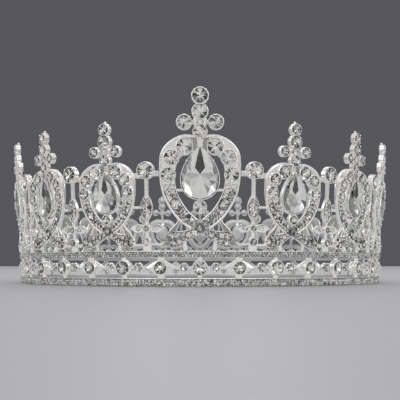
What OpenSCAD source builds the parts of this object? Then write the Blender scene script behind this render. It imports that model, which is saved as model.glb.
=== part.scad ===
// A full round crown: two stone-set rails with an openwork row between them, and twenty crests
// with pear stones and cross-shaped spires. It stands on its rim, front towards -Y, +Z up.

/* [Rim] */
// Outer diameter of the rim where it rests
rim_d = 150; // [146:1:156]
// Outward lean of the wall, degrees
wall_lean = 4.6; // [4:0.1:5]
// Thickness of the two rails
rail_t = 2.2; // [2:0.1:2.4]
// Height of the lower rail
lower_rail_h = 2.8; // [2.4:0.1:3]
// Height of the upper rail's top above the rim
rail_top = 11.8; // [11.6:0.1:12]
// Height of the upper rail itself
upper_rail_h = 2.1; // [1.8:0.1:2.2]

/* [Openwork row] */
// Height of the middle of the row
row_z = 6.3; // [6.2:0.05:6.5]
// Length of a lozenge ornament
lozenge_l = 11.8; // [10.6:0.1:12]
// Height of a lozenge ornament
lozenge_h = 5.3; // [5:0.1:5.4]
// Stone in a round ornament
row_round_d = 4.5; // [4:0.1:4.6]
// Stone in a lozenge ornament
row_lozenge_d = 4; // [3.6:0.1:4.2]
// Small stone between two ornaments
row_small_d = 2.5; // [2.2:0.1:2.6]

/* [Crests] */
// Angle round the crown that the front crest takes
front_span = 27; // [26.5:0.1:27.5]
// Angle that each of the six side crests takes
side_span = 22.1; // [21.9:0.1:22.2]
// Width of the loop of the front crest
front_loop_w = 27; // [26.4:0.1:27.4]
// Width of the loop of a side crest
side_loop_w = 21.8; // [21.2:0.1:22.4]
// Width of the loop of a back crest
back_loop_w = 15.2; // [14.6:0.1:15.4]
// Height of the top stone of the front crest
front_peak = 63.3; // [63:0.1:65]
// Height of the top stone of a side crest
side_peak = 53.2; // [52:0.1:56]
// Height of the top stone of a back crest
back_peak = 42; // [41.5:0.1:44]

/* [Posts] */
// Height of the top stone of a front post
front_post_top = 38.7; // [38:0.1:40]
// Height of the top stone of a back post
back_post_top = 32; // [31:0.1:33]
// Stone on a front post
front_post_d = 5.1; // [4.6:0.1:5.6]
// Stone on a back post
back_post_d = 3.6; // [3.2:0.1:3.8]

/* [Metal] */
// Thickness of the cast plates
plate_t = 1.2; // [1.2:0.1:1.5]
// Wall of a stone cup beside its stone
cup_wall = 0.4; // [0.4:0.05:0.5]
// Room between a stone and its cup
stone_gap = 0.12; // [0.1:0.01:0.14]
// Gap at a solder seam between two castings
seam = 0.1; // [0.05:0.01:0.15]

/* [Hidden] */
$fn = 48;
ornaments = 36;
row_pitch = 360 / ornaments;
// The front casting has its first round ornament at the front, the back one a lozenge at the back
front_count = 7;
back_count = 9;
seam_angle = (front_count + 1) * row_pitch;
// How far pieces that are soldered together run into each other, a cup and a bar's end
cup_lap = 0.3;
bar_lap = 0.8;
silver = "#dfe0e2";
crystal = "#c9d2d8";
wall_r = rim_d / 2 - rail_t / 2;
face = plate_t / 2;
back_crests = 13;
back_span = (360 - front_span - 6 * side_span) / back_crests;

// Columns of the crest table: loop width and top, height where the strands cross, reach of the
// feet, width, foot and tip of the pear stone, cross arm height and reach, top stone height,
// and the diameters of the top, second, arm, third and lowest stones
LOOP_W = 0; LOOP_TOP = 1; CROSS = 2; FOOT_U = 3; PEAR_W = 4; PEAR_FOOT = 5; PEAR_TIP = 6;
ARM_V = 7; ARM_U = 8; PEAK = 9; PEAK_D = 10; SECOND_D = 11; ARM_D = 12; THIRD_D = 13; LOW_D = 14;
FRONT = [front_loop_w, 50.4, 19.2, 11.8, 12.2, 29.0, 46.4, 54.5, 5.3, front_peak, 5.0, 4.8, 4.5, 4.3, 3.9];
SIDE = [side_loop_w, 41.6, 18.3, 10.3, 9.0, 24.7, 38.2, 45.6, 4.2, side_peak, 3.5, 4.1, 3.1, 3.5, 2.9];
BACK = [back_loop_w, 31.5, 15.8, 6.9, 5.8, 20.6, 29.6, 35.4, 3.4, back_peak, 3.0, 2.8, 2.4, 2.5, 1.9];

// The crests: name, angle from the front, shape, and the angles of the posts that each carries
NAME = 0; ANGLE = 1; SHAPE = 2; POSTS = 3;
CRESTS = concat(
    [["front", 0, FRONT, []]],
    [for (s = [1, -1]) for (k = [1 : 3]) side_crest(s, k)],
    [["back", 180, BACK, []]],
    [for (s = [1, -1]) for (k = [1 : 6]) back_crest(s, k)]
);
function hand(s) = s > 0 ? "right" : "left";
function side_edge(k) = front_span / 2 + side_span * k;
function side_crest(s, k) = [
    str(hand(s), "_", k), s * side_edge(k - 0.5), SIDE,
    k == 3 ? [s * side_edge(2), s * side_edge(3)] : [s * side_edge(k - 1)]
];
function back_crest(s, k) = [
    str("back_", hand(s), "_", k), s * (180 - back_span * k), BACK, [s * (180 - back_span * (k - 0.5))]
];
function all_posts() = [for (c = CRESTS) for (a = c[POSTS]) a];
function is_front_post(a) = abs(a) < side_edge(2.5);

// Half of the front crest's loop from its top dip round to the crossing: offset, height, half width,
// for a loop as wide as strand_w
strand_w = 27;
STRAND = [
    [0, 47.2, 2.6], [5.3, 47.3, 3.1], [9.7, 44.0, 3.3], [10.9, 38.5, 2.7], [10.5, 33.0, 2.5],
    [9.2, 29.0, 2.4], [6.9, 25.2, 2.35], [4.4, 22.5, 2.2], [0, 19.2, 2.0]
];
// Large stones on that half: offset, height, diameter
LOOP_STONES = [[5.1, 46.4, 5.1], [9.5, 42.8, 4.7], [10.6, 37.0, 4.5]];
// Foot of the front crest, and the stub that stands on the rail and runs up into it
FOOT = [[0, 17.2], [2.6, 16.1], [5, 14.9], [5.3, 13.6], [6.2, 13.1], [10.6, 13.1], [11.5, 13.8],
        [11.8, 15.2], [11.4, 17], [9.4, 19.3], [6.8, 21.9], [3, 21.6], [0, 19.4]];
stub_u = 5.2;
stub_w = 1.5;
stub_top = 15.3;
// Opening between that foot and the strand above it
FOOT_HOLE = [[6.8, 20.8], [6.8, 18.2], [4.3, 19.5]];
// Bars that hold the pear's cup in its loop: share of the pear's height, and how high they are
pear_bar_share = 0.17;
pear_bar_h = 0.9;

function strand_u(c) = c[LOOP_W] / strand_w;
function strand_v(c, v) =
    c[CROSS] + (v - FRONT[CROSS]) * (c[LOOP_TOP] - c[CROSS]) / (FRONT[LOOP_TOP] - FRONT[CROSS]);
function strand_row(c, r) = [r[0] * strand_u(c), strand_v(c, r[1]), r[2] * strand_u(c)];
function foot_v(c, v) = rail_top + (v - rail_top) * (c[CROSS] - rail_top) / (FRONT[CROSS] - rail_top);
function foot_point(c, p) = [p[0] * c[FOOT_U] / FRONT[FOOT_U], foot_v(c, p[1])];

// A smooth curve through four neighbouring rows, t from 0 to 1 between the middle two
function blend(a, b, c, d, t) =
    0.5 * (2 * b + (c - a) * t + (2 * a - 5 * b + 4 * c - d) * t * t + (3 * b - a - 3 * c + d) * t * t * t);
function flip(r) = [-r[0], r[1], r[2]];
function strand_stations(c) = [for (r = STRAND) strand_row(c, r)];
function strand_curve(c, steps) =
    let (s = strand_stations(c), n = len(s), ends = concat([flip(s[1])], s, [2 * s[n - 1] - s[n - 2]]))
    concat([for (i = [1 : n - 1]) for (k = [0 : steps - 1])
        blend(ends[i - 1], ends[i], ends[i + 1], ends[i + 2], k / steps)], [s[n - 1]]);
// The curve's edge, its half width away: side 1 is the outer edge, -1 the inner
function strand_edge(c, side) =
    let (p = strand_curve(c, 3), n = len(p))
    [for (i = [0 : n - 1])
        let (d = p[min(i + 1, n - 1)] - p[max(i - 1, 0)],
             t = i == 0 ? [1, 0] : [d[0], d[1]] / norm([d[0], d[1]]))
        [p[i][0] - side * t[1] * p[i][2], p[i][1] + side * t[0] * p[i][2]]];
function reversed(l) = [for (i = [len(l) - 1 : -1 : 0]) l[i]];

// How far the loop reaches from the crest's middle at one height
function loop_reach(c, v) =
    let (e = strand_edge(c, 1))
    max([for (i = [0 : len(e) - 2]) if ((e[i][1] - v) * (e[i + 1][1] - v) <= 0)
        e[i][0] + (e[i + 1][0] - e[i][0]) * (v - e[i][1]) / (e[i + 1][1] - e[i][1])]);

// Flat plates stand inside the round of the wall by half their bulge
function set_back(c) = pow(c[LOOP_W] / 2, 2) / (4 * wall_r);
function wall_at(v) = wall_r + v * sin(wall_lean);
// Sideways place, seen from a post, of a point on a crest an angle away
function from_post(c, u, v, angle) =
    let (r = wall_at(v) - set_back(c))
    norm([u, r]) * sin(angle - atan(u / r));

// A stone's place is [angle, offset, height, diameter, face the cup stands on]
pavilion_share = 0.16;
crown_share = 0.14;
cup_lip = 0.12;
function girdle_n(d, base) = base + stone_gap + pavilion_share * d;
function cup_top(d, base) = girdle_n(d, base) + cup_lip;
function wall_point(angle, u, v, n) =
    let (r = wall_r + n * cos(wall_lean) + v * sin(wall_lean))
    [u * cos(angle) + r * sin(angle), u * sin(angle) - r * cos(angle),
     v * cos(wall_lean) - n * sin(wall_lean)];

// Round stone: table, crown facets down to a sharp girdle, and pavilion facets down to a point
cut_sides = 8;
table_share = 0.58;
function round_cut(s) =
    let (g = girdle_n(s[3], s[4]), r = s[3] / 2)
    concat(
        [for (i = [0 : cut_sides - 1]) cut_point(s, r * table_share, i, g + crown_share * s[3])],
        [for (i = [0 : cut_sides - 1]) cut_point(s, r, i, g)],
        [wall_point(s[0], s[1], s[2], s[4] + stone_gap)]
    );
function cut_point(s, r, i, n) =
    let (a = 360 * (i + 0.5) / cut_sides) wall_point(s[0], s[1] + r * cos(a), s[2] + r * sin(a), n);
// Faces of a cut stone: a table, rings of points from the table down, and one last point. Its
// points begin at one place in the list
function cut_faces(sides, rings, start) = concat(
    [[for (i = [sides - 1 : -1 : 0]) start + i]],
    [for (ring = [0 : rings - 2]) for (i = [0 : sides - 1])
        let (j = (i + 1) % sides, a = start + ring * sides)
        [a + i, a + j, a + sides + j, a + sides + i]],
    [for (i = [0 : sides - 1])
        let (j = (i + 1) % sides, a = start + (rings - 1) * sides) [a + i, a + j, start + rings * sides]]
);
module stone_field(stones) {
    per_stone = 2 * cut_sides + 1;
    color(crystal)
        polyhedron(
            points = [for (s = stones) each round_cut(s)],
            faces = [for (i = [0 : len(stones) - 1]) each cut_faces(cut_sides, 2, i * per_stone)],
            convexity = 4
        );
}

// Outline of a pear stone: tip up, round foot, widest a third of the way up
girdle_h = 0.24;
pear_heart = 0.42;
pear_sides = 20;
pear_taper = 0.75;
pear_fill = 0.8;
function pear_outline(c, grow) =
    let (h = (c[PEAR_TIP] - c[PEAR_FOOT]) / 2 + grow, w = c[PEAR_W] / 2 + grow,
         mid = (c[PEAR_TIP] + c[PEAR_FOOT]) / 2)
    [for (i = [0 : pear_sides - 1])
        let (t = 360 * i / pear_sides)
        [w / pear_fill * sin(t) * pow(sin(t / 2), pear_taper), mid + h * cos(t)]];
pear_pavilion = 0.12;
pear_crown = 0.1;
function pear_depth(c) = pear_pavilion * c[PEAR_W];
function pear_girdle(c) = face - set_back(c) + stone_gap + pear_depth(c);
function pear_middle(c) = c[PEAR_FOOT] + pear_heart * (c[PEAR_TIP] - c[PEAR_FOOT]);
function pear_ring(crest, share, n) =
    let (c = crest[SHAPE], middle = pear_middle(c), outline = pear_outline(c, 0))
    [for (p = reversed(outline))
        wall_point(crest[ANGLE], p[0] * share, middle + (p[1] - middle) * share, n)];
module pear(crest) {
    c = crest[SHAPE];
    g = pear_girdle(c);
    color(crystal)
        polyhedron(
            points = concat(
                pear_ring(crest, table_share, g + pear_crown * c[PEAR_W]),
                pear_ring(crest, 1, g),
                pear_ring(crest, 1, g - girdle_h),
                [wall_point(crest[ANGLE], 0, pear_middle(c), face - set_back(c) + stone_gap)]
            ),
            faces = cut_faces(pear_sides, 3, 0)
        );
}

// Stones of each crest: offset, height, diameter
third_rise = 0.4;
low_room = 0.75;
function second_v(c) = c[PEAK] - (c[PEAK_D] + c[SECOND_D]) / 2 - cup_wall;
function third_v(c) = 2 * c[ARM_V] - second_v(c) + third_rise;
function spire_rows(c) = concat(
    [[0, c[PEAK], c[PEAK_D]], [0, second_v(c), c[SECOND_D]], [c[ARM_U], c[ARM_V], c[ARM_D]],
     [-c[ARM_U], c[ARM_V], c[ARM_D]]],
    c == BACK ? [] : [[0, third_v(c), c[THIRD_D]]]
);
function low_row(c) = [0, c[PEAR_FOOT] - c[LOW_D] / 2 - low_room, c[LOW_D]];
function loop_rows(c) = c == BACK ? [] : [
    for (s = [1, -1]) for (r = LOOP_STONES)
        let (p = strand_row(c, r)) [s * p[0], p[1], p[2]]
];
function crest_rows(c) = concat(spire_rows(c), [low_row(c)], loop_rows(c));
function place_rows(crest, rows) = [
    for (r = rows) [crest[ANGLE], r[0], r[1], r[2], face - set_back(crest[SHAPE])]
];

// A plate's own plane: x runs round the wall, y up it and z outwards, at one angle from the front
module on_wall(angle) {
    rotate([0, 0, angle])
        translate([0, -wall_r, 0])
            rotate([90 + wall_lean, 0, 0])
                children();
}
module plate(thickness) {
    translate([0, 0, -thickness / 2])
        linear_extrude(thickness)
            children();
}
module disc(r, u, v) { translate([u, v]) circle(r); }
module bar(u0, u1, v0, v1) { translate([u0, v0]) square([u1 - u0, v1 - v0]); }
// The raised wall of a cup round a stone
module cup(u, v, d) {
    translate([u, v, face - cup_lap])
        linear_extrude(cup_top(d, face) - face + cup_lap)
            difference() {
                circle(d / 2 + cup_wall);
                circle(d / 2 + stone_gap);
            }
}
// Two arcs that meet in points
leaf_steps = 4;
function marquise(l, w) = [
    for (side = [1, -1]) for (i = [-leaf_steps : leaf_steps - 1])
        let (t = side * i / leaf_steps) [t * l / 2, side * w / 2 * (1 - t * t)]
];
lozenge_steps = 5;
lozenge_power = 1.6;
function lozenge() = [
    for (side = [1, -1]) for (i = [-lozenge_steps : lozenge_steps - 1])
        let (t = side * i / lozenge_steps)
        [t * lozenge_l / 2, side * lozenge_h / 2 * pow(cos(90 * t), lozenge_power)]
];

// Cross-shaped spire above the loop
spine_share = 0.45;
module spire_outline(c) {
    spine = spine_share * c[SECOND_D];
    for (r = spire_rows(c)) disc(r[2] / 2 + cup_wall, r[0], r[1]);
    disc(c[SECOND_D] / 2, 0, c[ARM_V]);
    bar(-spine / 2, spine / 2, strand_v(c, STRAND[0][1]), c[PEAK]);
    bar(-c[ARM_U], c[ARM_U], c[ARM_V] - spine / 3, c[ARM_V] + spine / 3);
}
module loop_outline(c) {
    for (s = [1, -1])
        polygon([for (p = concat(strand_edge(c, 1), reversed(strand_edge(c, -1)))) [s * p[0], p[1]]]);
}
module foot_polygon(c, s, rows) {
    polygon([for (p = rows) [s * foot_point(c, p)[0], foot_point(c, p)[1]]]);
}
module foot_outline(c) {
    for (s = [1, -1]) {
        difference() {
            foot_polygon(c, s, FOOT);
            if (c != BACK) foot_polygon(c, s, FOOT_HOLE);
        }
        u = s * stub_u * c[FOOT_U] / FRONT[FOOT_U];
        w = stub_w * strand_u(c);
        bar(u - w / 2, u + w / 2, rail_top + seam, foot_v(c, stub_top));
    }
}
module pear_bars(c) {
    v = c[PEAR_FOOT] + pear_bar_share * (c[PEAR_TIP] - c[PEAR_FOOT]);
    u = loop_reach(c, v) - c[PEAR_W] / 10;
    bar(-u, u, v - pear_bar_h / 2, v + pear_bar_h / 2);
}
module crest_plate(c) {
    plate(plate_t) {
        if (c != BACK) pear_bars(c);
        loop_outline(c);
        foot_outline(c);
        spire_outline(c);
        polygon(pear_outline(c, cup_wall));
        disc(c[LOW_D] / 2 + cup_wall, 0, low_row(c)[1]);
    }
}
module pear_cup(c) {
    rise = pear_girdle(c) + set_back(c) - face;
    translate([0, 0, face - cup_lap])
        linear_extrude(rise + cup_lap)
            difference() {
                polygon(pear_outline(c, cup_wall));
                polygon(pear_outline(c, stone_gap));
            }
}
// Small ball on top of a spire
nub_share = 0.14;
nub_rise = 0.6;
module nub(c) {
    r = nub_share * c[PEAK_D];
    translate([0, c[PEAK] + c[PEAK_D] / 2 + cup_wall + nub_rise * r, 0])
        sphere(r);
}

// Post between two crests: stem, pointed drop, a leaf each way, a large stone on top.
// Columns of the post table: height and diameter of the top stone, height of the base, height,
// length and width of the drop, and height, width and length of a leaf
TOP = 0; TOP_D = 1; BASE_V = 2; DROP_V = 3; DROP_L = 4; DROP_W = 5; LEAF_V = 6; LEAF_W = 7; LEAF_L = 8;
FRONT_POST = [front_post_top, front_post_d, 14.9, 26.2, 9.6, 4.3, 19.4, 2.9, 5.4];
BACK_POST = [back_post_top, back_post_d, 13.9, 22.6, 6.4, 3.2, 16.7, 2.0, 4.9];
function post_shape(a) = is_front_post(a) ? FRONT_POST : BACK_POST;
post_foot_w = 3.2;
stem_w = 1.4;
post_base_d = 2.6;
leaf_root = 0.4;
module post_outline(p) {
    bar(-stem_w / 2, stem_w / 2, p[BASE_V], p[TOP]);
    bar(-post_foot_w / 2, post_foot_w / 2, rail_top + seam, p[BASE_V] - bar_lap);
    disc(post_base_d / 2 + cup_wall, 0, p[BASE_V]);
    disc(p[TOP_D] / 2 + cup_wall, 0, p[TOP]);
    translate([0, p[DROP_V]]) rotate(90) polygon(marquise(p[DROP_L], p[DROP_W]));
    for (s = [1, -1])
        translate([s * (p[LEAF_L] / 2 + leaf_root), p[LEAF_V]]) polygon(marquise(p[LEAF_L], p[LEAF_W]));
}
// Bars from a post to a crest: height of the middle, height of the bar
function bars(a, c) =
    !is_front_post(a) ? [[23.4, 1.6]] :
    c == FRONT ? [[37.6, 1.8]] : [[37, 1.8], [26.4, 0.9]];
foot_bar_v = 14.1;
foot_bar_h = 0.8;
// A bar to the post's own crest runs into its loop, one to its neighbour ends at a seam
module post_bar(s, tip, v, h) { bar(min(0, s * tip), max(0, s * tip), v - h / 2, v + h / 2); }
module post_bars(a, crest, own) {
    away = crest[ANGLE] - a;
    s = sign(sin(away));
    angle = acos(cos(away));
    c = crest[SHAPE];
    reach = own ? bar_lap : -seam - face * sin(angle);
    for (b = bars(a, c)) {
        edges = [for (v = [b[0] - b[1] / 2, b[0], b[0] + b[1] / 2]) loop_reach(c, v)];
        post_bar(s, from_post(c, own ? min(edges) : max(edges), b[0], angle) + reach, b[0], b[1]);
    }
    v = foot_v(c, foot_bar_v);
    post_bar(s, from_post(c, c[FOOT_U], v, angle) + reach, v, foot_bar_h);
}
function neighbours(a) = [for (c = CRESTS) if (cos(c[ANGLE] - a) > cos(front_span / 2 + 0.1)) c];
bar_t = plate_t - 0.2;
module post(a, owner) {
    p = post_shape(a);
    on_wall(a) {
        plate(plate_t) post_outline(p);
        plate(bar_t)
            for (c = neighbours(a)) post_bars(a, c, c[NAME] == owner);
        cup(0, p[TOP], p[TOP_D]);
    }
}

// One casting: a crest with the posts that it carries
module crest(crest) {
    c = crest[SHAPE];
    color(silver)
        union() {
            on_wall(crest[ANGLE])
                translate([0, 0, -set_back(c)]) {
                    crest_plate(c);
                    pear_cup(c);
                    for (r = crest_rows(c)) cup(r[0], r[1], r[2]);
                    if (c != FRONT) nub(c);
                }
            for (a = crest[POSTS]) post(a, crest[NAME]);
        }
}

// Cross section of a rail: along the wall from one height to another
function rail_point(n, v) =
    [wall_r + n * cos(wall_lean) + v * sin(wall_lean), v * cos(wall_lean) - n * sin(wall_lean)];
module rails(from, to) {
    n = rail_t / 2;
    rotate([0, 0, from - 90])
        rotate_extrude(angle = to - from, $fn = 180) {
            polygon([[wall_r - n, 0], [wall_r + n, 0],
                     rail_point(n, lower_rail_h), rail_point(-n, lower_rail_h)]);
            polygon([rail_point(-n, rail_top - upper_rail_h), rail_point(n, rail_top - upper_rail_h),
                     rail_point(n, rail_top), rail_point(-n, rail_top)]);
        }
}
// Upright strut from the lower rail into the upper one
rail_lap = 0.4;
module strut(u0, u1) { bar(u0, u1, lower_rail_h - rail_lap, rail_top - upper_rail_h + rail_lap); }
// Row ornament on its strut between the rails, round or lozenge, with its stone cup
round_strut = 1.6;
lozenge_strut = 2.6;
module row_ornament(a, is_round) {
    w = is_round ? round_strut : lozenge_strut;
    on_wall(a) {
        plate(plate_t) {
            strut(-w / 2, w / 2);
            translate([0, row_z])
                if (is_round) circle(row_round_d / 2 + cup_wall);
                else polygon(lozenge());
        }
        cup(0, row_z, is_round ? row_round_d : row_lozenge_d);
    }
}
// Small cup on the thin bar between two ornaments, nearer to the round one
small_u = 1.25;
link_h = 0.9;
link_t = plate_t - 0.3;
seam_strut = 1.4;
module row_link(a, s) {
    half = wall_at(row_z) * sin(row_pitch / 2) - seam_strut / 2;
    on_wall(a) {
        plate(link_t) bar(-half, half, row_z - link_h / 2, row_z + link_h / 2);
        plate(plate_t) disc(row_small_d / 2 + cup_wall, s * small_u, row_z);
        cup(s * small_u, row_z, row_small_d);
    }
}
// Two short notches in the foot of the rim at the back
notch_angle = 28.5;
notch_w = 2;
notch_h = 0.9;
function odd(i) = abs(i) % 2 == 1;
function link_numbers(count) = [-count - 1 : count];
module seam_post(a, s) {
    on_wall(a)
        plate(plate_t) strut(s > 0 ? seam / 2 : -seam_strut, s > 0 ? seam_strut : -seam / 2);
}
module front_band() {
    trim = atan(seam / 2 / wall_r);
    color(silver)
        union() {
            rails(-seam_angle + trim, seam_angle - trim);
            for (i = [-front_count : front_count]) row_ornament(i * row_pitch, !odd(i));
            for (i = link_numbers(front_count)) row_link((i + 0.5) * row_pitch, odd(i) ? 1 : -1);
            for (s = [1, -1]) seam_post(s * seam_angle, -s);
        }
}
module back_band() {
    trim = atan(seam / 2 / wall_r);
    color(silver)
        union() {
            difference() {
                rails(seam_angle + trim, 360 - seam_angle - trim);
                for (s = [1, -1])
                    rotate([0, 0, 180 + s * notch_angle])
                        translate([-notch_w / 2, -wall_r - rail_t, -1])
                            cube([notch_w, 2 * rail_t, notch_h + 1]);
            }
            for (i = [-back_count : back_count]) row_ornament(180 + i * row_pitch, odd(i));
            for (i = link_numbers(back_count)) row_link(180 + (i + 0.5) * row_pitch, odd(i) ? -1 : 1);
            for (s = [1, -1]) seam_post(s * seam_angle, s);
        }
}

// Stones of the openwork row
function row_stones(count, middle, is_round) = [
    for (i = [-count : count]) if (odd(i) != is_round) middle + i * row_pitch
];
module band_round_stones() {
    stone_field([for (a = concat(row_stones(front_count, 0, true), row_stones(back_count, 180, false)))
        [a, 0, row_z, row_round_d, face]]);
}
module band_lozenge_stones() {
    stone_field([for (a = concat(row_stones(front_count, 0, false), row_stones(back_count, 180, true)))
        [a, 0, row_z, row_lozenge_d, face]]);
}
module band_small_stones() {
    stone_field(concat(
        [for (i = link_numbers(front_count))
            [(i + 0.5) * row_pitch, (odd(i) ? 1 : -1) * small_u, row_z, row_small_d, face]],
        [for (i = link_numbers(back_count))
            [180 + (i + 0.5) * row_pitch, (odd(i) ? -1 : 1) * small_u, row_z, row_small_d, face]]
    ));
}
module post_stones() {
    stone_field([for (a = all_posts()) [a, 0, post_shape(a)[TOP], post_shape(a)[TOP_D], face]]);
}
module spire_stones(is_front) {
    stone_field([for (c = CRESTS) if ((c[SHAPE] != BACK) == is_front)
        each place_rows(c, spire_rows(c[SHAPE]))]);
}
module loop_stones() {
    stone_field([for (c = CRESTS) if (c[SHAPE] != BACK)
        each place_rows(c, concat([low_row(c[SHAPE])], loop_rows(c[SHAPE])))]);
}

front_band();
back_band();
for (c = CRESTS) crest(c);
for (c = CRESTS) pear(c);
post_stones();
spire_stones(true);  // spire_stones_front
spire_stones(false);  // spire_stones_back
loop_stones();
band_round_stones();
band_lozenge_stones();
band_small_stones();
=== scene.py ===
"""A rhinestone crown on a pale floor: cast silver band and crests, set with pear, round and pave stones."""
from math import pi, radians
import bpy
import numpy as np
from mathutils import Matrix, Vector


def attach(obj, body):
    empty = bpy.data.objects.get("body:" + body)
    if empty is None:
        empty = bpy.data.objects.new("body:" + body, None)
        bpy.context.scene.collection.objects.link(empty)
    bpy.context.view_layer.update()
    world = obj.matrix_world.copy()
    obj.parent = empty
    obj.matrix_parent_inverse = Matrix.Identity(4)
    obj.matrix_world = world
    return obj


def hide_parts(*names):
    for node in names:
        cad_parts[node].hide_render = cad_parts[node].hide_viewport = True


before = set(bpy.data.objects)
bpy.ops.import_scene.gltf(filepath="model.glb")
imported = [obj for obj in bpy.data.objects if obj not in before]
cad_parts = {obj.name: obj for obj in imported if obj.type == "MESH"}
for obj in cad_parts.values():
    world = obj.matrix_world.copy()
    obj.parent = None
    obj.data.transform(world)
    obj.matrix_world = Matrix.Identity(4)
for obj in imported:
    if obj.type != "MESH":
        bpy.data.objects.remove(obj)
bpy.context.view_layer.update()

# Sizes of the crown in millimetres, the same as in the part's source
MM = 0.001
RIM_D = 150.0
LEAN = radians(4.6)
RAIL_T = 2.2
LOWER_RAIL_H = 2.8
RAIL_TOP = 11.8
UPPER_RAIL_H = 2.1
ROW_Z = 6.3
LOZENGE_L, LOZENGE_H, LOZENGE_POWER = 11.8, 5.3, 1.6
ROW_ROUND_D, ROW_LOZENGE_D, ROW_SMALL_D = 4.5, 4.0, 2.5
FRONT_SPAN, SIDE_SPAN, BACK_CRESTS = 27.0, 22.1, 13
BACK_SPAN = (360 - FRONT_SPAN - 6 * SIDE_SPAN) / BACK_CRESTS
PLATE_T, CUP_WALL, STONE_GAP, SEAM = 1.2, 0.4, 0.12, 0.1
WALL_R = RIM_D / 2 - RAIL_T / 2
FACE = PLATE_T / 2
ROW_PITCH, FRONT_COUNT, BACK_COUNT, SMALL_U, LINK_H = 10.0, 7, 9, 1.25, 0.9
SEAM_ANGLE = (FRONT_COUNT + 1) * ROW_PITCH
PEAR_BAR_SHARE = 0.17

CREST_COLUMNS = ("loop_w", "loop_top", "cross", "foot_u", "pear_w", "pear_foot", "pear_tip", "arm_v",
                 "arm_u", "peak", "peak_d", "second_d", "arm_d", "third_d", "low_d")
FRONT = dict(zip(CREST_COLUMNS, (27.0, 50.4, 19.2, 11.8, 12.2, 29.0, 46.4, 54.5,
                                 5.3, 63.3, 5.0, 4.8, 4.5, 4.3, 3.9)))
SIDE = dict(zip(CREST_COLUMNS, (21.8, 41.6, 18.3, 10.3, 9.0, 24.7, 38.2, 45.6,
                                4.2, 53.2, 3.5, 4.1, 3.1, 3.5, 2.9)))
BACK = dict(zip(CREST_COLUMNS, (15.2, 31.5, 15.8, 6.9, 5.8, 20.6, 29.6, 35.4,
                                3.4, 42.0, 3.0, 2.8, 2.4, 2.5, 1.9)))

POST_COLUMNS = ("top", "d", "drop_v", "drop_l", "drop_w", "leaf_v", "leaf_w", "leaf_l", "base_v")
FRONT_POST = dict(zip(POST_COLUMNS, (38.7, 5.1, 26.2, 9.6, 4.3, 19.4, 2.9, 5.4, 14.9)))
BACK_POST = dict(zip(POST_COLUMNS, (32.0, 3.6, 22.6, 6.4, 3.2, 16.7, 2.0, 4.9, 13.9)))
POST_BASE_D = 2.4
# Bars from a post to the loop beside it: height, thickness
POST_BARS = {id(FRONT): [(37.6, 1.8)], id(SIDE): [(37.0, 1.8), (26.4, 0.9)]}
BACK_POST_BARS = [(23.4, 1.6)]

# Shares of the half loop, from its top: the start of its plain shoulder with the large stones, and the
# end and start of the file of smaller stones in a sunk bed with painted shade
SHOULDER_FROM = 0.085
FILE_TO = 0.955
FILE_FROM = {id(FRONT): 0.527, id(SIDE): 0.527, id(BACK): 0.07}

# Half of the front loop from its top dip to the crossing: offset, height, half width
STRAND = np.array([
    (0, 47.2, 2.6), (5.3, 47.3, 3.1), (9.7, 44.0, 3.3), (10.9, 38.5, 2.7), (10.5, 33.0, 2.5),
    (9.2, 29.0, 2.4), (6.9, 25.2, 2.35), (4.4, 22.5, 2.2), (0, 19.2, 2.0)])
STRAND_W = 27.0
# Large stones on that half: offset, height, diameter
LOOP_STONES = np.array([(5.1, 46.4, 5.1), (9.5, 42.8, 4.7), (10.6, 37.0, 4.5)])
# Ribbon end that runs on from the crossing to the rounded foot: offset, height, half width
FOOT = np.array([
    (-1.5, 19.6, 1.3), (1.2, 18.3, 1.3), (3.2, 17.4, 1.55), (5.2, 16.6, 1.9), (7.2, 15.9, 2.55),
    (9.0, 15.6, 2.7), (10.5, 15.4, 2.25), (11.35, 15.4, 1.4), (11.75, 15.4, 0.35)])
# Arm from the loop's outer edge down to the foot
ARM = np.array([(6.4, 22.4, 0.4), (7.1, 21.2, 0.5), (8.0, 19.7, 0.85), (9.0, 18.2, 1.2), (9.6, 17.1, 1.2)])
STUB_TOP, FOOT_BAR_V = 15.3, 14.1


def crest_list():
    """Name, angle from the front, shape and carried posts of each crest, as in the part's source."""
    def edge(k):
        return FRONT_SPAN / 2 + SIDE_SPAN * k

    rows = [("front", 0.0, FRONT, [])]
    for s, hand in ((1, "right"), (-1, "left")):
        for k in (1, 2, 3):
            posts = [s * edge(k - 1)] + ([s * edge(3)] if k == 3 else [])
            rows.append((f"{hand}_{k}", s * edge(k - 0.5), SIDE, posts))
    rows.append(("back", 180.0, BACK, []))
    for s, hand in ((1, "right"), (-1, "left")):
        for k in range(1, 7):
            post = s * (180 - BACK_SPAN * (k - 0.5))
            rows.append((f"back_{hand}_{k}", s * (180 - BACK_SPAN * k), BACK, [post]))
    return rows


CRESTS = crest_list()


def is_front_post(angle):
    """Whether a post is one of the six large ones."""
    return abs(angle) < FRONT_SPAN / 2 + 2.5 * SIDE_SPAN


def set_back(c):
    """How far a flat crest stands inside the round of the wall: half of its bulge."""
    return (c["loop_w"] / 2) ** 2 / (4 * WALL_R)


def on_wall(points, angle, back=0.0):
    """Turns (offset, height, outward) in a plate's plane into the crown's metres: the plate leans out by
    LEAN and stands at an angle from the front."""
    u, v, n, a = np.broadcast_arrays(points[..., 0], points[..., 1], points[..., 2] - back,
                                     np.radians(angle))
    r = WALL_R + n * np.cos(LEAN) + v * np.sin(LEAN)
    return np.stack([u * np.cos(a) + r * np.sin(a), u * np.sin(a) - r * np.cos(a),
                     v * np.cos(LEAN) - n * np.sin(LEAN)], -1) * MM


# Surfaces: each is (points, faces, finish of each face), faces as rows of four with -1 after a triangle
# The second finish is a rougher satin whose darker colour is also painted shade on the inner side; the
# third is painted shade, darker metal in the sunk beds under the stones.
BRIGHT, SATIN_AND_SHADE, SHADE_PAINTED_BED = 0, 1, 2


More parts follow.
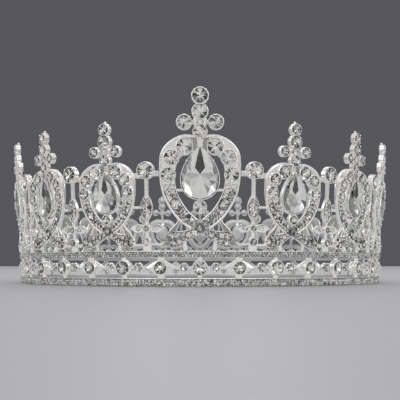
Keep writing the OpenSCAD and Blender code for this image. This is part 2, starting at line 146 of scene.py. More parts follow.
def facing_out(points, faces):
    """Turns the faces round if the closed surface they make has a negative volume."""
    a, b, c = points[faces[:, 0]], points[faces[:, 1]], points[faces[:, 2]]
    d = points[np.where(faces[:, 3] < 0, faces[:, 2], faces[:, 3])]
    volume = (np.cross(a, b) * c).sum() + (np.cross(a, c) * d).sum()
    if volume < 0:
        quads = faces[:, 3] >= 0
        faces = np.where(quads[:, None], faces[:, ::-1], faces[:, [2, 1, 0, 3]])
    return faces


def closed_tube(rings, finish=BRIGHT):
    """Joins a stack of closed rings (stations x points x 3) into a tube, with a fan at each end. The
    finish may differ from one strip of the walls to the next."""
    n, m = rings.shape[:2]
    i, j = np.meshgrid(np.arange(n - 1), np.arange(m), indexing="ij")
    k = (j + 1) % m
    walls = np.stack([i * m + j, i * m + k, (i + 1) * m + k, (i + 1) * m + j], -1).reshape(-1, 4)
    points = np.concatenate([rings.reshape(-1, 3), rings[0].mean(0)[None], rings[-1].mean(0)[None]])
    j = np.arange(m)
    k = (j + 1) % m
    none = np.full(m, -1)
    start = np.stack([k, j, np.full(m, n * m), none], -1)
    end = np.stack([(n - 1) * m + j, (n - 1) * m + k, np.full(m, n * m + 1), none], -1)
    faces = facing_out(points, np.concatenate([walls, start, end]))
    strips = np.broadcast_to(finish, (n - 1, m)).ravel()
    return points, faces, np.concatenate([strips, np.full(2 * m, BRIGHT)])


def merged(surfaces):
    """Several surfaces as one, the later ones' point numbers moved up."""
    points, faces, finishes, start = [], [], [], 0
    for p, f, m in surfaces:
        points.append(p)
        faces.append(np.where(f < 0, -1, f + start))
        finishes.append(m)
        start += len(p)
    return np.concatenate(points), np.concatenate(faces), np.concatenate(finishes)


BED_N, PLAIN_N = 0.15, 0.62


def shade_painted_strips(heights):
    """Painted shade: darker metal for the strips of a section that run into or along the sunk bed under the
    stones.
    """
    return np.where((heights == BED_N) & (np.roll(heights, -1) == BED_N), SHADE_PAINTED_BED, BRIGHT)


def left_of(steps):
    """Unit vectors square to flat steps, on their left."""
    steps = steps / np.linalg.norm(steps, axis=1)[:, None]
    return np.stack([-steps[:, 1], steps[:, 0]], 1)


def ribbon(path, half, profile, plain=(0.0, 0.0), bordered=(0.0, 1.0)):
    """A profile carried along a flat path. Each profile row is (share of the half width, inset from that
    edge, height), so that borders keep their width where the ribbon narrows. Between the two shares of
    plain the bed rises to PLAIN_N and is bright, elsewhere it is sunk and given painted shade. The raised
    borders run only between the two shares of bordered, so that they don't cross another ribbon's stones."""
    side = left_of(np.gradient(path, axis=0))
    reach = np.maximum(half[:, None] - profile[None, :, 1], 0.02) * profile[None, :, 0]
    flat = path[:, None, :] + side[:, None, :] * reach[..., None]
    share = np.arange(len(path)) / (len(path) - 1)
    bare = (share < bordered[0]) | (share > bordered[1])
    height = np.where(bare[:, None], np.minimum(profile[None, :, 2], BED_N), profile[None, :, 2])
    filled = (share > plain[0]) & (share < plain[1])
    height = np.where(filled[:, None] & (profile[None, :, 2] == BED_N), PLAIN_N, height)
    paved = ~(filled[:-1] | filled[1:])[:, None]
    finish = np.where(paved, shade_painted_strips(profile[:, 2]), BRIGHT)
    return closed_tube(np.concatenate([flat, height[..., None]], -1), finish)


def turned(u, v, profile, sides=24):
    """A profile of (radius, height) turned about an axis that stands on the plate at (u, v)."""
    a = np.arange(sides) * 2 * pi / sides
    r, n = profile[:, 0], profile[:, 1]
    ring = np.stack([u + r[:, None] * np.cos(a), v + r[:, None] * np.sin(a),
                     np.broadcast_to(n[:, None], (len(r), sides))], -1)
    return closed_tube(ring)


def inset(outline, distance):
    """The outline moved inwards along its own normals by a distance."""
    ahead, behind = np.roll(outline, -1, 0) - outline, outline - np.roll(outline, 1, 0)
    ahead /= np.linalg.norm(ahead, axis=1)[:, None]
    behind /= np.linalg.norm(behind, axis=1)[:, None]
    along = ahead + behind
    along /= np.maximum(np.linalg.norm(along, axis=1)[:, None], 0.05)
    area = (outline[:, 0] * np.roll(outline[:, 1], -1) - outline[:, 1] * np.roll(outline[:, 0], -1)).sum()
    inward = np.stack([-along[:, 1], along[:, 0]], 1) * np.sign(area)
    middle = outline.mean(0)
    near = 0.8 * np.linalg.norm(outline - middle, axis=1)[:, None]
    return outline + inward * np.minimum(distance, near)


def mound(outline, rows):
    """A stack of outlines, each row moved inwards by its first number and raised to its second, closed
    at both ends."""
    rings = [np.concatenate([inset(outline, d), np.full((len(outline), 1), n)], 1) for d, n in rows]
    points, faces, finish = closed_tube(np.array(rings))
    # A sunk bed at the top gets painted shade, darker metal where shade falls among its stones.
    if rows[-1][1] == BED_N:
        finish[-len(outline):] = SHADE_PAINTED_BED
    return points, faces, finish


def ridged(outline, u, v, length, high):
    """A flat outline about (0, 0) bevelled up to a ridge along its length and set at (u, v): rings of
    (share of the half width, outward at its points, share of the rise to the middle's height)."""
    middle = 1 - np.abs(2 * outline[:, 0] / length)
    rows = [(0.5, -FACE, 0), (0.94, -FACE, 0), (1, -0.45, 0), (1, 0.3, 0.1), (0.96, 0.4, 0.1),
            (0.5, 0.45, 0.55), (0.04, 0.48, 1)]
    rings = [np.stack([u + outline[:, 0], v + share * outline[:, 1], tip + rise * (high - tip) * middle], 1)
             for share, tip, rise in rows]
    return closed_tube(np.array(rings))


def smooth_path(rows, steps):
    """Points on a smooth curve through the rows, steps of them between each two (Catmull-Rom)."""
    ends = np.concatenate([[2 * rows[0] - rows[1]], rows, [2 * rows[-1] - rows[-2]]])
    t = np.arange(steps)[None, :, None] / steps
    a, b, c, d = (ends[k:len(ends) - 3 + k][:, None, :] for k in range(4))
    curve = 0.5 * (2 * b + (c - a) * t + (2 * a - 5 * b + 4 * c - d) * t ** 2
                   + (3 * b - a - 3 * c + d) * t ** 3)
    return np.concatenate([curve.reshape(-1, rows.shape[1]), rows[-1:]])


# Cross sections in millimetres
def strand_profile(outer, inner):
    """A flat back with round edges, and a sunk bed between two plain raised borders of these widths."""
    bed, top, back = BED_N, 0.82, -FACE
    right = [(1, 0.0, back + 0.3), (1, 0.0, top - 0.4), (1, 0.1 * outer, top - 0.16),
             (1, 0.3 * outer, top - 0.03), (1, 0.55 * outer, top), (1, 0.8 * outer, top - 0.08),
             (1, outer - 0.04, top - 0.25), (1, outer, bed)]
    left = [(-1, inner, bed), (-1, inner - 0.04, top - 0.25), (-1, 0.8 * inner, top - 0.08),
            (-1, 0.5 * inner, top), (-1, 0.2 * inner, top - 0.06), (-1, 0.0, top - 0.4),
            (-1, 0.0, back + 0.3)]
    under = [(-1, 0.12, back + 0.1), (-1, 0.4, back), (1, 0.4, back), (1, 0.12, back + 0.1)]
    return np.array(right + left + under)


NARROW_SECTION = strand_profile(0.32, 0.32)
# A wire of rounded rectangular section
BAR_SECTION = np.array([(1, 0.0, -0.3), (1, 0.0, 0.3), (1, 0.2, 0.5), (-1, 0.2, 0.5),
                        (-1, 0.0, 0.3), (-1, 0.0, -0.3), (-1, 0.2, -0.5), (1, 0.2, -0.5)])


def bar(u0, v0, u1, v1, width):
    """A straight wire from one place to another."""
    ends = np.array([(u0, v0), (u1, v1)], float)
    return ribbon(ends, np.full(2, width / 2), BAR_SECTION)


def girdle_n(d):
    """Height of a round stone's edge above the middle plane."""
    return FACE + STONE_GAP + 0.16 * d


def stone_cup(u, v, d, bed=-0.3, lip=0.12):
    """Thin round bezel with a domed plain back, hollow inside for the stone's point."""
    r_in, r_out, top = d / 2 + 0.05, d / 2 + CUP_WALL, girdle_n(d) + lip
    rows = [(0.001, -FACE - 0.14), (0.45 * r_out, -FACE - 0.12), (0.82 * r_out, -FACE - 0.02),
            (r_out, -0.35), (r_out, top - 0.14), (r_out - 0.12, top), (r_in, top), (r_in + 0.05, top - 0.2),
            (0.55 * r_in, bed + 0.2), (0.001, bed)]
    return turned(u, v, np.array(rows))


def claw_rows(r, girdle, thick):
    """A claw's stations from its root up over the edge: distance from the stone's axis, height, radius."""
    return [(r + 0.28, -0.2, 0.8 * thick), (r + 0.32, girdle - 0.2, thick), (r + 0.2, girdle + 0.16, thick),
            (r - 0.14, girdle + 0.3, 0.8 * thick), (r - 0.28, girdle + 0.28, 0.3 * thick)]


def claws(u, v, d):
    """Four small rounded claws that bend over a round stone's edge."""
    rows = claw_rows(d / 2, girdle_n(d), 0.17 + 0.02 * d)
    return [claw(u, v, pi / 4 + k * pi / 2, rows) for k in range(4)]


def petal_setting(u, v, d):
    """A low cup with eight thick claws that stand out round the stone like petals."""
    r, g = d / 2, girdle_n(d)
    rows = [(r + 0.15, -0.1, 0.18), (r + 0.3, g - 0.4, 0.21), (r + 0.28, g - 0.05, 0.23),
            (r + 0.06, g + 0.14, 0.2), (r - 0.16, g + 0.16, 0.08)]
    return [stone_cup(u, v, d, 0.1, -0.45)] + [claw(u, v, (k + 0.5) * pi / 4, rows) for k in range(8)]


def pear_claws(c):
    """One claw at the tip, two at the shoulders and two at the foot of a pear, at these of 96 points."""
    outline = pear_outline(c, 0, 96)
    along = np.roll(outline, -1, 0) - np.roll(outline, 1, 0)
    rows = claw_rows(1.0, pear_girdle(c), 0.02 * c["pear_w"] + 0.05)
    parts = []
    for k in (0, 17, 79, 40, 56):
        angle = np.arctan2(along[k, 0], -along[k, 1]) if k else pi / 2
        if np.cos(angle) * outline[k, 0] < -1e-6:
            angle += pi
        root = outline[k] - [np.cos(angle), np.sin(angle)]
        parts.append(claw(*root, angle, rows))
    return parts


def claw(u, v, angle, rows):
    """A round wire of changing thickness in the upright plane through a stone's axis."""
    rows = np.array(rows)
    out, up = np.array([np.cos(angle), np.sin(angle), 0]), np.array([0, 0, 1.0])
    aside = np.array([-np.sin(angle), np.cos(angle), 0])
    t = (np.arange(6) * pi / 3)[None, :, None]
    path = np.array([u, v, 0]) + rows[:, :1] * out + rows[:, 1:2] * up
    step = np.gradient(rows[:, :2], axis=0)
    step /= np.linalg.norm(step, axis=1)[:, None]
    across = step[:, 1:2] * out - step[:, :1] * up
    ring = (np.cos(t) * across[:, None, :] + np.sin(t) * aside) * rows[:, None, 2:3]
    return closed_tube(path[:, None, :] + ring)


# The parts of a crest
def strand_u(c):
    """How wide a crest's loop is, as a share of the front one's."""
    return c["loop_w"] / STRAND_W


def stretched(c, rows):
    """Rows of (offset, height, size) on the front loop, stretched to this one's width and height."""
    rise = (c["loop_top"] - c["cross"]) / (FRONT["loop_top"] - FRONT["cross"])
    return np.stack([rows[:, 0] * strand_u(c), c["cross"] + (rows[:, 1] - FRONT["cross"]) * rise,
                     rows[:, 2] * strand_u(c)], 1)


def strand_curve(c, steps=7):
    """Half of the loop from its top dip to the crossing, as a smooth curve with half widths."""
    rows = stretched(c, STRAND)
    start = rows[1] * [-1, 1, 1]
    full = smooth_path(np.concatenate([[start], rows]), steps)
    return full[steps:]


def loop_reach(c, v):
    """How far the loop's outer edge is from the crest's middle at a height."""
    curve = strand_curve(c, 12)
    edge = curve[:, :2] + left_of(np.gradient(curve[:, :2], axis=0)) * curve[:, 2:]
    low = edge[edge[:, 1].argmax():]
    return np.interp(v, low[::-1, 1], low[::-1, 0])


def foot_rows(c, rows):
    """Rows of (offset, height, half width) below the front crest's crossing, fitted to this one's."""
    rise = (c["cross"] - RAIL_TOP) / (FRONT["cross"] - RAIL_TOP)
    return np.stack([rows[:, 0] * c["foot_u"] / FRONT["foot_u"], RAIL_TOP + (rows[:, 1] - RAIL_TOP) * rise,
                     rows[:, 2] * (0.25 * strand_u(c) + 0.75 * rise)], 1)


def foot_curve(c):
    """The right foot as a smooth curve with half widths."""
    return smooth_path(foot_rows(c, FOOT), 5)


def arm_curve(c):
    """The right arm as a smooth curve with half widths."""
    return smooth_path(foot_rows(c, ARM), 4)


def pear_outline(c, grow=0.0, sides=48):
    """Tip up, round foot: offset sin(t) sin(t/2)^0.75 and height cos(t)."""
    t = np.arange(sides) * 2 * pi / sides
    h, w = (c["pear_tip"] - c["pear_foot"]) / 2 + grow, c["pear_w"] / 2 + grow
    middle = (c["pear_tip"] + c["pear_foot"]) / 2
    return np.stack([w / 0.8 * np.sin(t) * np.sin(t / 2) ** 0.75, middle + h * np.cos(t)], 1)


def pear_girdle(c):
    """Height of the pear's edge above its crest's own middle plane."""
    return FACE + STONE_GAP + 0.12 * c["pear_w"]


def second_v(c):
    """Height of the spire's second stone, whose cup touches the peak's."""
    return c["peak"] - (c["peak_d"] + c["second_d"]) / 2 - CUP_WALL


def third_v(c):
    """Height of the stone below the spire's arms."""
    return 2 * c["arm_v"] - second_v(c) + 0.4


def spire_rows(c):
    """Stones of the spire: offset, height, diameter."""
    rows = [(0, c["peak"], c["peak_d"]), (0, second_v(c), c["second_d"]),
            (c["arm_u"], c["arm_v"], c["arm_d"]), (-c["arm_u"], c["arm_v"], c["arm_d"])]
    return rows + ([] if c is BACK else [(0, third_v(c), c["third_d"])])


def low_row(c):
    """The stone under the pear."""
    return (0, c["pear_foot"] - c["low_d"] / 2 - 0.75, c["low_d"])


def loop_rows(c):
    """Large stones of both sides of the loop, which the back crests don't have."""
    if c is BACK:
        return []
    return [(s * u, v, d) for s in (1, -1) for u, v, d in stretched(c, LOOP_STONES)]


def mirrored(surface):
    """The same surface on the other side of the crest's middle, its faces turned back outwards."""
    points, faces, finish = surface
    points = points * [-1, 1, 1]
    return points, facing_out(points, faces), finish


def crest_silver(c):
    """Loop, feet, pear cup, spire and all the stone cups of one crest, in its own plane."""
    k = strand_u(c)
    curve, foot, arm = strand_curve(c), foot_curve(c), arm_curve(c)
    half = [ribbon(curve[:, :2], curve[:, 2], strand_profile(0.9 * k, 0.4 * k),
                   (SHOULDER_FROM, FILE_FROM[id(c)]), (0.0, FILE_TO)),
            ribbon(foot[:, :2], foot[:, 2], NARROW_SECTION, bordered=(0.2, 1.0)),
            ribbon(arm[:, :2], arm[:, 2], NARROW_SECTION)]
    stub_u, stub_top = foot_rows(c, np.array([(5.2, STUB_TOP, 1)]))[0, :2]
    half.append(bar(0.92 * stub_u, RAIL_TOP + SEAM, stub_u, stub_top, 1.5 * k))
    parts = half + [mirrored(p) for p in half]
    g = pear_girdle(c)
    outline = pear_outline(c, CUP_WALL)
    parts.append(mound(outline, [
        (2.2 * k, -FACE - 0.25), (1.2 * k, -FACE - 0.22), (0.4, -FACE - 0.1), (0.08, -0.45), (0, -0.2),
        (0, g - 0.16), (0.1, g), (0.3, g), (0.37, g - 0.16), (0.5, 0.25), (1.4 * k, 0)]))
    for u, v, d in spire_rows(c) + [low_row(c)] + loop_rows(c):
        parts.append(stone_cup(u, v, d))
        parts += claws(u, v, d)
    parts += pear_claws(c)
    parts += [grain(*row) for row in beds(c)[1]]
    spine = 0.45 * c["second_d"]
    parts.append(bar(0, curve[0, 1] - 1.4 * k, 0, c["peak"], spine))
    parts.append(bar(-c["arm_u"], c["arm_v"], c["arm_u"], c["arm_v"], 0.67 * spine))
    hub = 0.5 * c["second_d"]
    button = [(0.001, -FACE), (hub - 0.2, -FACE), (hub, -FACE + 0.2), (hub, 0.7), (hub - 0.25, 1.0),
              (0.001, 1.05)]
    parts.append(turned(0, c["arm_v"], np.array(button)))
    if c is not FRONT:
        r = 0.14 * c["peak_d"]
        t = np.linspace(-pi / 2, pi / 2, 9)
        ball = np.stack([np.maximum(r * np.cos(t), 0.001), r * np.sin(t)], 1)
        parts.append(turned(0, c["peak"] + c["peak_d"] / 2 + CUP_WALL + 0.6 * r, ball, 12))
    if c is not BACK:
        bar_v = c["pear_foot"] + PEAR_BAR_SHARE * (c["pear_tip"] - c["pear_foot"])
        reach = loop_reach(c, bar_v) - c["pear_w"] / 10
        right_side = pear_outline(c)[24:0:-1]
        pear_side = np.interp(bar_v, right_side[:, 1], right_side[:, 0])
        for s in (1, -1):
            parts.append(bar(s * pear_side, bar_v, s * reach, bar_v, 0.9))
    return merged(parts)


# The posts between crests
def post_sizes(angle):
    """The sizes of the post at an angle from the front."""
    return FRONT_POST if is_front_post(angle) else BACK_POST


def pointed(length, sides, half):
    """An outline with a point at each end, t from -1 to 1 along its length and half(t) wide each way."""
    turn = np.arange(sides) * 2 * pi / sides
    t = np.cos(turn)
    return np.stack([t * length / 2, np.sign(np.sin(turn) + 1e-9) * half(t)], 1)


def marquise(length, width):
    """Two arcs that meet in points: half width falls with the square of the distance."""
    return pointed(length, 24, lambda t: width / 2 * (1 - t ** 2))


# Drop-shaped setting from its back up over its rim and down to the bed: inset, outward
BED_ROWS = [(0.55, -FACE - 0.05), (0.3, -FACE), (0.05, -0.5), (0, -0.3), (0, 0.52), (0.04, 0.68),
            (0.16, 0.8), (0.28, 0.74), (0.33, 0.58), (0.36, BED_N)]


def from_post(c, u, v, angle):
    """Sideways place, seen from a post, of a point on a crest an angle away."""
    r = WALL_R + v * np.sin(LEAN) - set_back(c)
    return np.hypot(u, r) * np.sin(np.radians(angle) - np.arctan2(u, r))


def post_silver(angle, owner):
    """A post with its settings, and bars to the two crests beside it: joined to the crest that carries
    it and ending a seam short of the other."""
    p = post_sizes(angle)
    parts = [bar(0, p["base_v"], 0, p["top"], 1.4), bar(0, RAIL_TOP + SEAM, 0, p["base_v"], 3.0)]
    drop = marquise(p["drop_l"], p["drop_w"])[:, ::-1] + [0, p["drop_v"]]
    parts.append(mound(drop, BED_ROWS))
    leaf = marquise(p["leaf_l"], p["leaf_w"])
    for s in (1, -1):
        parts.append(ridged(leaf, s * (p["leaf_l"] / 2 + 0.4), p["leaf_v"], p["leaf_l"], 0.5))
    parts.append(stone_cup(0, p["top"], p["d"]))
    parts += claws(0, p["top"], p["d"])
    parts.append(stone_cup(0, p["base_v"], POST_BASE_D, 0.3))
    parts.append(stone_cup(0, p["leaf_v"], p["leaf_w"] - 1, 0.3))
    near = np.cos(np.radians(FRONT_SPAN / 2 + 0.1))
    beside = [row[:3] for row in CRESTS if np.cos(np.radians(row[1] - angle)) > near]
    for name, crest_angle, c in beside:
        s = np.sign(np.sin(np.radians(crest_angle - angle)))
        away = np.degrees(np.arccos(np.cos(np.radians(crest_angle - angle))))
        reach = 0.8 if name == owner else -SEAM - FACE * np.sin(np.radians(away))
        for v, h in POST_BARS[id(c)] if is_front_post(angle) else BACK_POST_BARS:
            edges = [loop_reach(c, w) for w in (v - h / 2, v, v + h / 2)]
            tip = from_post(c, min(edges) if name == owner else max(edges), v, away) + reach
            parts.append(bar(0, v, s * tip, v, h))
        foot_v = foot_rows(c, np.array([(0, FOOT_BAR_V, 1)]))[0, 1]
        tip = from_post(c, c["foot_u"], foot_v, away) + reach
        parts.append(bar(0, foot_v, s * tip, foot_v, 0.8))
    return merged(parts)


# Cut stones
# Tones of the stones' lower facets: clear glass, bright mirror foil, and grey and dark foil that are
# painted reflections.
CLEAR, FOILED, PAINTED_GREY_REFLECTION, PAINTED_DARK_REFLECTION = 0, 1, 2, 3
CHANCE = np.random.default_rng(12)
# Triangles of an eight-sided table
TABLE = np.stack([np.zeros(6, int), np.arange(1, 7), np.arange(2, 8), np.full(6, -1)], 1)


def cut_stone(middle, outline, height, crown, depth, table=0.56, star=0.8, lower=0.3, tones=None,
              ring=None):
    """A stone from its sixteen-point outline: table, eight star facets, eight kites and sixteen girdle
    facets above, and the same kites and triangles down to a point below. The upper facets are clear glass
    and the lower ones are foiled, in bright mirror foil or in grey and dark tones that are painted
    reflections: sixteen halves, then eight kites."""
    def at(share, rows, n):
        return np.concatenate([middle + (outline - middle)[rows] * share, np.full((len(rows), 1), n)], 1)

    even, odd = np.arange(0, 16, 2), np.arange(1, 16, 2)
    g = np.arange(16)
    top, mid = at(table, even, height + crown), at(star, odd, height + 0.5 * crown)
    upper, under = at(1, g, height), at(1, g, height - 0.02 * np.ptp(outline[:, 0]))
    low, point = at(lower, odd, height - depth * (1 - 0.75 * lower)), at(0, even[:1], height - depth)
    if ring is not None:
        low[:, :2] = middle + ring
    points = np.concatenate([top, mid, upper, under, low, point])
    M, G, U, L, P = 8, 16, 32, 48, 56
    i = np.arange(8)
    j = (i + 1) % 8
    none = np.full(8, -1)
    clear = [np.stack([j, i, M + i, none], 1), np.stack([M + i, G + 2 * j, M + j, j], 1),
             np.stack([M + i, G + 2 * i, G + 2 * i + 1, none], 1),
             np.stack([M + i, G + 2 * i + 1, G + 2 * j, none], 1)]
    h = (g + 1) % 16
    band = np.stack([U + g, U + h, G + h, G + g], 1)
    foil = [np.stack([L + i, U + 2 * i + 1, U + 2 * i, none], 1),
            np.stack([L + i, U + 2 * j, U + 2 * i + 1, none], 1),
            np.stack([np.full(8, P), L + j, U + 2 * j, L + i], 1)]
    faces = np.concatenate([TABLE] + clear + [band] + foil)
    # Painted reflections at random: most lower facets bright foil, some grey or dark.
    if tones is None:
        tones = np.concatenate([CHANCE.choice([FOILED, PAINTED_GREY_REFLECTION, PAINTED_DARK_REFLECTION], 16, p=[0.66, 0.12, 0.22]),
                                CHANCE.choice([FOILED, PAINTED_GREY_REFLECTION, PAINTED_DARK_REFLECTION], 8, p=[0.84, 0.08, 0.08])])
    finish = np.concatenate([np.full(len(faces) - len(tones), CLEAR), tones])
    return points, facing_out(points, faces), finish


def round_cut(u, v, d, height, depth, turn=0.0):
    """A round stone with its edge at a height and its point a share of its diameter below."""
    a = np.arange(16) * pi / 8 + turn
    outline = np.stack([u + d / 2 * np.cos(a), v + d / 2 * np.sin(a)], 1)
    return cut_stone(np.array([u, v]), outline, height, 0.14 * d, depth * d)


def round_stone(u, v, d):
    """A round stone at the height of its cup."""
    return round_cut(u, v, d, girdle_n(d), 0.18)


# Halves by pairs round from the tip down one side and up the other, then the kites, the last at the tip
# Painted reflections on the pear: three grey halves and a dark kite at its tip.
PEAR_TONES = np.full(24, FOILED)
PEAR_TONES[[3, 10, 14]] = PAINTED_GREY_REFLECTION
PEAR_TONES[-1] = PAINTED_DARK_REFLECTION

# Where the kites are widest, from the heart of a pear 13 mm wide: right side down, then the left up
PEAR_RING_W = 13
PEAR_RING = np.array([(1.8, 2.3), (3.3, 0.6), (3.2, -2.0), (1.5, -3.6)])
PEAR_RING = np.concatenate([PEAR_RING, PEAR_RING[::-1] * [-1, 1]])


def pear_stone(c):
    """A crest's pear-shaped main stone."""
    w = c["pear_w"]
    heart = np.array([0, c["pear_foot"] + 0.47 * (c["pear_tip"] - c["pear_foot"])])
    return cut_stone(heart, pear_outline(c, sides=16), pear_girdle(c), 0.06 * w, 0.07 * w, table=0.66,
                     star=0.84, lower=0.42, tones=PEAR_TONES, ring=PEAR_RING * w / PEAR_RING_W)


# Sides of the small stones, and how high their edges lie in a bed and in a spire's hub
CHIP_SIDES, CHIP_N, HUB_N = 8, 0.8, 1.15


def pave(spots, bed=CHIP_N):
    """Small cut stones, one for each row of (offset, height, diameter): an eight-sided table and crown
    over a foiled point, each tipped a little by hand setting, all worked out at once."""
    spots = np.asarray(spots, float)
    a = (np.arange(CHIP_SIDES) + 0.5) * 2 * pi / CHIP_SIDES
    ring = np.stack([np.cos(a), np.sin(a), np.zeros(CHIP_SIDES)], 1)
    unit = np.concatenate([ring * 0.28 + [0, 0, 0.19], ring * 0.5, [[0, 0, -0.4]]])
    lean = CHANCE.normal(0, 0.13, (len(spots), 2))
    points = unit[None] * spots[:, None, 2:3]
    points[..., 2] += (points[..., :2] * lean[:, None]).sum(-1) + bed
    points[..., :2] += spots[:, None, :2]
    i = np.arange(CHIP_SIDES)
    j = (i + 1) % CHIP_SIDES
    crown = np.stack([i, i + CHIP_SIDES, j + CHIP_SIDES, j], 1)
    foil = np.stack([i + CHIP_SIDES, 0 * i + 2 * CHIP_SIDES, j + CHIP_SIDES, 0 * i - 1], 1)
    one = np.concatenate([TABLE, crown, foil])
    faces = one[None] + np.arange(len(spots))[:, None, None] * len(unit)
    faces = np.where(one[None] < 0, -1, faces).reshape(-1, 4)
    # Painted reflections at random: some lower facets of each chip grey or dark.
    tones = CHANCE.choice([FOILED, PAINTED_GREY_REFLECTION, PAINTED_DARK_REFLECTION], (len(spots), CHIP_SIDES), p=[0.76, 0.09, 0.15])
    clear = np.full((len(spots), len(TABLE) + len(crown)), CLEAR)
    return points, faces, np.concatenate([clear, tones], 1).ravel()


def set_chips(spots, angle, back=0.0, bed=CHIP_N):
    """Small stones laid on the wall; the angle may differ from stone to stone."""
    points, faces, finish = pave(spots, bed)
    return on_wall(points, np.reshape(angle, (-1, 1)), back).reshape(-1, 3), faces, finish


# More turns of a pattern than any ribbon has room for
MOST_TURNS = 9


def file_of_stones(curve, left, right, start, stop, pattern):
    """Stones laid one after the other along a ribbon's bed, each as wide as the bed between the borders,
    or two side by side where the pattern says 2; and the grains that hold them, where two files meet."""
    step = np.linalg.norm(np.diff(curve[:, :2], axis=0), axis=1)
    s = np.concatenate([[0], np.cumsum(step)])
    side = left_of(np.gradient(curve[:, :2], axis=0))
    reached, end = start * s[-1], stop * s[-1]
    stones, grains = [], []

    def spot(t, share, d):
        u, v, half, su, sv = (np.interp(t, s, column) for column in (*curve.T[:3], *side.T))
        reach = -half + right + (2 * half - left - right) * share
        return u + su * reach, v + sv * reach, d

    for count in pattern * MOST_TURNS:
        bed = 2 * np.interp(reached, s, curve[:, 2]) - left - right
        d = min(0.95 * bed if count == 1 else 0.49 * bed, end - reached)
        if d < 0.8:
            break
        shares = (0.5,) if count == 1 else (0.26, 0.74)
        stones += [spot(reached + d / 2, share, d) for share in shares]
        reached += 1.02 * d
        grains += [spot(reached, share, min(0.2 + 0.05 * d, 0.34)) for share in (0.1, 0.9)]
    return stones, grains


def between_stones(c):
    """Grains in the corners that the round stones of a loop leave beside its borders."""
    rows = stretched(c, LOOP_STONES)
    places = np.concatenate([[(0.5 * rows[0, 0], rows[0, 1], 0)], (rows[:-1] + rows[1:]) / 2,
                             [rows[2] + [-0.05, -2.9 * strand_u(c), 0]]])
    along = np.array([(1, 0), rows[1, :2] - rows[0, :2], rows[2, :2] - rows[1, :2], (0, -1)], float)
    side = left_of(along)
    reach = strand_u(c) * np.array([[1.75], [1.5], [1.45], [1.6]])
    spots = [places[:, :2] + s * side * reach for s in (1, -0.9)]
    return np.concatenate([np.column_stack([p, np.full(len(p), 0.32)]) for p in spots])


def beds(c):
    """Stones and grains of one crest's strands, feet and arms, both sides."""
    k = strand_u(c)
    loop_ends = FILE_FROM[id(c)], FILE_TO
    files = [file_of_stones(strand_curve(c), 0.85 * k, 0.35 * k, *loop_ends, (2, 2, 2, 1, 2)),
             file_of_stones(foot_curve(c), 0.34, 0.34, 0.2, 0.98, (1, 1, 2, 2, 2)),
             file_of_stones(arm_curve(c), 0.28, 0.28, 0.12, 0.7, (1,))]
    stones, grains = (np.array([row for f in files for row in f[kind]]) for kind in (0, 1))
    if c is not BACK:
        grains = np.concatenate([grains, between_stones(c)])
    both = [np.concatenate([rows, rows * [-1, 1, 1]]) for rows in (stones, grains)]
    return np.concatenate([both[0], [(0, c["cross"] + 0.2, 1.8 * k)]]), both[1]


def grain(u, v, r):
    """A small raised dome of metal that holds two stones in a bed."""
    dome = [(r, 0), (r, CHIP_N - 0.1), (0.75 * r, CHIP_N + 0.12), (0.001, CHIP_N + 0.2)]
    return turned(u, v, np.array(dome), 8)


# Stones in a bed from this diameter up have all their facets
LARGE = 1.9


def crest_pave(c):
    """Small stones as rows, larger ones as finished stones, and the one in the spire's hub."""
    stones = beds(c)[0]
    large = stones[:, 2] >= LARGE
    turns = CHANCE.uniform(0, pi / 4, len(stones))
    cut = [round_cut(*row, CHIP_N + 0.03, 0.17, turn) for row, turn in zip(stones[large], turns[large])]
    return stones[~large], cut, [(0, c["arm_v"], c["second_d"] * 0.5)]


def fill_outline(length, width, size):
    """Two staggered columns of stones inside a marquise, smaller towards its points."""
    t = np.arange(-length / 2 + 1.1 * size, length / 2 - size, size * 1.04)
    half = width / 2 * (1 - (2 * t / length) ** 2) - 0.3
    pair = half > size * 0.75
    left = np.stack([t, -half * 0.5, np.minimum(size, half)], 1)[pair]
    right = np.stack([t + 0.5 * size, half * 0.5, np.minimum(size, half)], 1)[pair]
    single = np.stack([t, 0 * t, np.minimum(size, 1.7 * half)], 1)[~pair & (half > 0.3 * size)]
    return np.concatenate([left, right, single])


def post_pave(angle):
    """Small stones of a post: its drop filled, and one in each leaf."""
    p = post_sizes(angle)
    drop = fill_outline(p["drop_l"], p["drop_w"], 1.35 if is_front_post(angle) else 1.05)
    leaves = [(s * (0.4 + 0.45 * p["leaf_l"]), p["leaf_v"], 0.62 * p["leaf_w"]) for s in (1, -1)]
    return np.concatenate([np.stack([drop[:, 1], drop[:, 0] + p["drop_v"], drop[:, 2]], 1), leaves])


# The band
RAIL_EDGE, RAIL_PITCH = 0.24, 1.06
RAIL_BED = RAIL_T / 2 - 0.62
# Bottom and top of each rail; the lower one starts where its leaning face just clears the floor
RAILS = ((0.07, LOWER_RAIL_H), (RAIL_TOP - UPPER_RAIL_H, RAIL_TOP))
# Uprights of the row run this far into both rails
RAIL_BITE = 0.4


def arc_strip(first, last, profile, step=0.5):
    """A closed profile of (height, outward) swept round the wall from one angle to another."""
    angles = np.linspace(first, last, int(abs(last - first) / step) + 1)
    flat = np.stack([np.zeros(len(profile)), profile[:, 0], profile[:, 1]], 1)
    depth = profile[:, 1]
    # The rail's sunk bed under the stones gets painted shade, darker metal.
    bed = (depth == RAIL_BED) & (np.roll(depth, -1) == RAIL_BED)
    return closed_tube(on_wall(flat[None], angles[:, None]), np.where(bed, SHADE_PAINTED_BED, BRIGHT))


def rail_profile(v0, v1):
    """Rail section: plain rounded inside, low rounded borders outside with a sunk bed for the stones."""
    n, e = RAIL_T / 2, RAIL_EDGE
    edge = [(0, n - 0.3), (0.04, n - 0.1), (0.5 * e, n - 0.01), (e - 0.03, n - 0.1), (e, RAIL_BED)]
    back = [(0.3, -n), (0.08, -n + 0.1), (0, -n + 0.35)]
    return np.array([(v0 + d, h) for d, h in back + edge] + [(v1 - d, h) for d, h in (back + edge)[::-1]])


